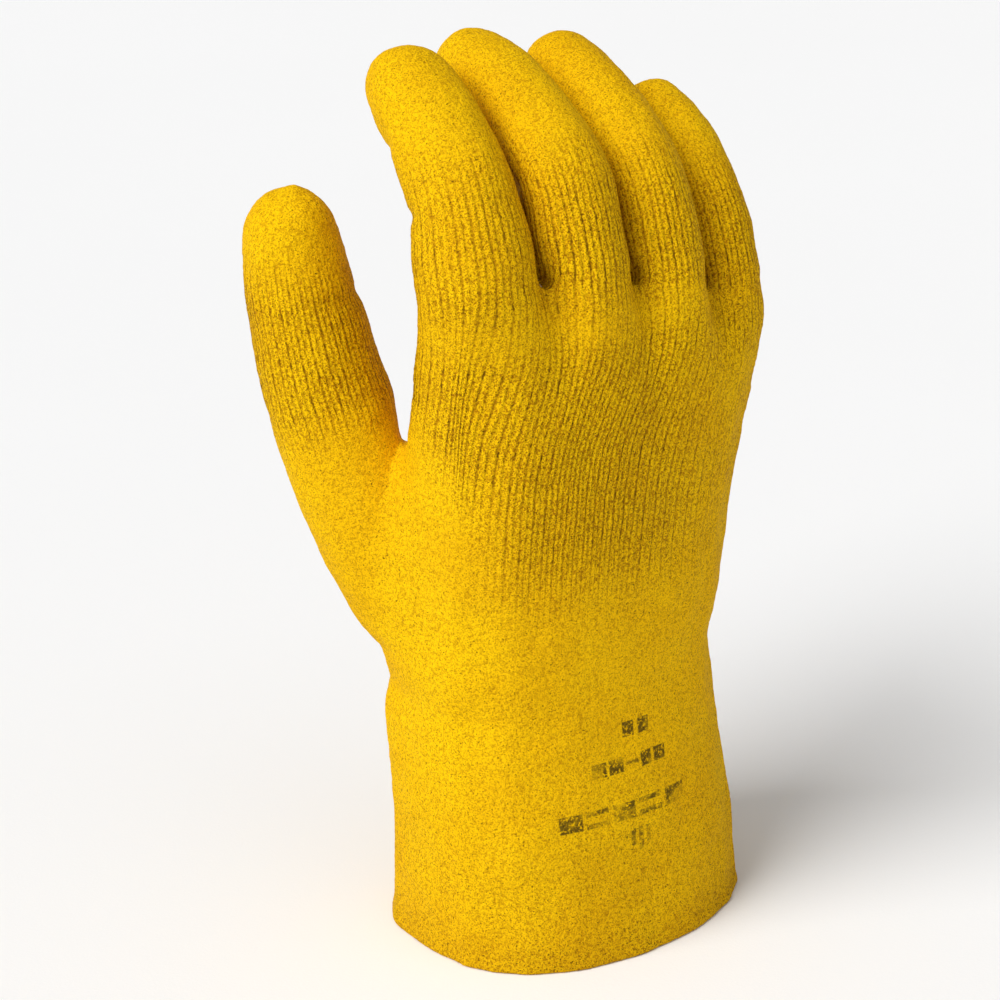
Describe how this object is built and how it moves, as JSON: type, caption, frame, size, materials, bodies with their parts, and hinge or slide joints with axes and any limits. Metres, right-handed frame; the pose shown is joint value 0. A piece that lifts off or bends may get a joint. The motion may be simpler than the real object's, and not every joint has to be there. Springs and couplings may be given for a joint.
{
  "type": "coated work glove",
  "caption": "Right-hand coated work glove with a knitted liner, curled fingers and a gauntlet cuff, hinged at wrist, knuckles and thumb.",
  "frame": {"origin": "on the floor under the middle of the whole glove's outline; the hem rests on Z = 0", "axes": "+Z from the hem up to the fingertips, -Y out of the back of the hand, +Y out of the palm, -X towards the thumb"},
  "size_m": [0.1362, 0.102, 0.26],
  "materials": {
    "yellow_coating": "rough sandy matt yellow PVC coating",
    "knit_liner": "seamless knitted yarn, off-white"
  },
  "bodies": {
    "cuff": {"cuff_shell": "yellow_coating", "cuff_liner": "knit_liner"},
    "hand": {"hand_shell": "yellow_coating", "hand_liner": "knit_liner"},
    "index_finger_base": {"index_finger_base_shell": "yellow_coating", "index_finger_base_liner": "knit_liner"},
    "index_finger_mid": {"index_finger_mid_shell": "yellow_coating", "index_finger_mid_liner": "knit_liner"},
    "index_finger_tip": {"index_finger_tip_shell": "yellow_coating", "index_finger_tip_liner": "knit_liner"},
    "middle_finger_base": {"middle_finger_base_shell": "yellow_coating", "middle_finger_base_liner": "knit_liner"},
    "middle_finger_mid": {"middle_finger_mid_shell": "yellow_coating", "middle_finger_mid_liner": "knit_liner"},
    "middle_finger_tip": {"middle_finger_tip_shell": "yellow_coating", "middle_finger_tip_liner": "knit_liner"},
    "ring_finger_base": {"ring_finger_base_shell": "yellow_coating", "ring_finger_base_liner": "knit_liner"},
    "ring_finger_mid": {"ring_finger_mid_shell": "yellow_coating", "ring_finger_mid_liner": "knit_liner"},
    "ring_finger_tip": {"ring_finger_tip_shell": "yellow_coating", "ring_finger_tip_liner": "knit_liner"},
    "little_finger_base": {"little_finger_base_shell": "yellow_coating", "little_finger_base_liner": "knit_liner"},
    "little_finger_mid": {"little_finger_mid_shell": "yellow_coating", "little_finger_mid_liner": "knit_liner"},
    "little_finger_tip": {"little_finger_tip_shell": "yellow_coating", "little_finger_tip_liner": "knit_liner"},
    "thumb_base": {"thumb_base_shell": "yellow_coating", "thumb_base_liner": "knit_liner"},
    "thumb_tip": {"thumb_tip_shell": "yellow_coating", "thumb_tip_liner": "knit_liner"}
  },
  "joints": [
    {"name": "wrist_bend", "type": "hinge", "parent": "cuff", "child": "hand", "pos_m": [0.00513, -0.0032, 0.075], "axis": [-1, 0, 0], "range_deg": [-25, 30], "stiffness_Nm_per_rad": 3},
    {"name": "index_finger_knuckle_bend", "type": "hinge", "parent": "hand", "child": "index_finger_base", "pos_m": [-0.02867, -0.0167, 0.202], "axis": [-0.999, 0, 0.0436], "range_deg": [-20, 35], "stiffness_Nm_per_rad": 0.25},
    {"name": "index_finger_middle_bend", "type": "hinge", "parent": "index_finger_base", "child": "index_finger_mid", "pos_m": [-0.02781, -0.0083, 0.22177], "axis": [-0.999, 0, 0.0436], "range_deg": [-20, 30], "stiffness_Nm_per_rad": 0.12},
    {"name": "index_finger_tip_bend", "type": "hinge", "parent": "index_finger_mid", "child": "index_finger_tip", "pos_m": [-0.02707, 0.00584, 0.23861], "axis": [-0.999, 0, 0.0436], "range_deg": [-12, 18], "stiffness_Nm_per_rad": 0.08},
    {"name": "middle_finger_knuckle_bend", "type": "hinge", "parent": "hand", "child": "middle_finger_base", "pos_m": [0.00113, -0.0227, 0.2005], "axis": [-0.999, 0, 0.0436], "range_deg": [-20, 35], "stiffness_Nm_per_rad": 0.25},
    {"name": "middle_finger_middle_bend", "type": "hinge", "parent": "middle_finger_base", "child": "middle_finger_mid", "pos_m": [0.00226, -0.01329, 0.22632], "axis": [-0.999, 0, 0.0436], "range_deg": [-20, 30], "stiffness_Nm_per_rad": 0.12},
    {"name": "middle_finger_tip_bend", "type": "hinge", "parent": "middle_finger_mid", "child": "middle_finger_tip", "pos_m": [0.00289, 0.01003, 0.24088], "axis": [-0.999, 0, 0.0436], "range_deg": [-12, 18], "stiffness_Nm_per_rad": 0.08},
    {"name": "ring_finger_knuckle_bend", "type": "hinge", "parent": "hand", "child": "ring_finger_base", "pos_m": [0.02913, -0.0222, 0.1955], "axis": [-0.999, 0, 0.0436], "range_deg": [-20, 35], "stiffness_Nm_per_rad": 0.25},
    {"name": "ring_finger_middle_bend", "type": "hinge", "parent": "ring_finger_base", "child": "ring_finger_mid", "pos_m": [0.0302, -0.01331, 0.21991], "axis": [-0.999, 0, 0.0436], "range_deg": [-20, 30], "stiffness_Nm_per_rad": 0.12},
    {"name": "ring_finger_tip_bend", "type": "hinge", "parent": "ring_finger_mid", "child": "ring_finger_tip", "pos_m": [0.0309, 0.00894, 0.23606], "axis": [-0.999, 0, 0.0436], "range_deg": [-12, 18], "stiffness_Nm_per_rad": 0.08},
    {"name": "little_finger_knuckle_bend", "type": "hinge", "parent": "hand", "child": "little_finger_base", "pos_m": [0.05513, -0.0177, 0.187], "axis": [-0.999, 0, 0.0436], "range_deg": [-20, 35], "stiffness_Nm_per_rad": 0.25},
    {"name": "little_finger_middle_bend", "type": "hinge", "parent": "little_finger_base", "child": "little_finger_mid", "pos_m": [0.05587, -0.01154, 0.2039], "axis": [-0.999, 0, 0.0436], "range_deg": [-20, 30], "stiffness_Nm_per_rad": 0.12},
    {"name": "little_finger_tip_bend", "type": "hinge", "parent": "little_finger_mid", "child": "little_finger_tip", "pos_m": [0.0565, 0.00067, 0.21844], "axis": [-0.999, 0, 0.0436], "range_deg": [-12, 18], "stiffness_Nm_per_rad": 0.08},
    {"name": "thumb_base_bend", "type": "hinge", "parent": "hand", "child": "thumb_base", "pos_m": [-0.04944, 0.0332, 0.171], "axis": [0.1212, -0.9843, 0.1281], "range_deg": [-20, 15], "stiffness_Nm_per_rad": 0.25},
    {"name": "thumb_tip_bend", "type": "hinge", "parent": "thumb_base", "child": "thumb_tip", "pos_m": [-0.05221, 0.03534, 0.19], "axis": [0.1245, -0.9868, 0.1036], "range_deg": [-25, 15], "stiffness_Nm_per_rad": 0.12}
  ],
  "couplings": [
    {"joint": "index_finger_tip_bend", "follows": "index_finger_middle_bend", "ratio": 0.6},
    {"joint": "middle_finger_tip_bend", "follows": "middle_finger_middle_bend", "ratio": 0.6},
    {"joint": "ring_finger_tip_bend", "follows": "ring_finger_middle_bend", "ratio": 0.6},
    {"joint": "little_finger_tip_bend", "follows": "little_finger_middle_bend", "ratio": 0.6}
  ]
}
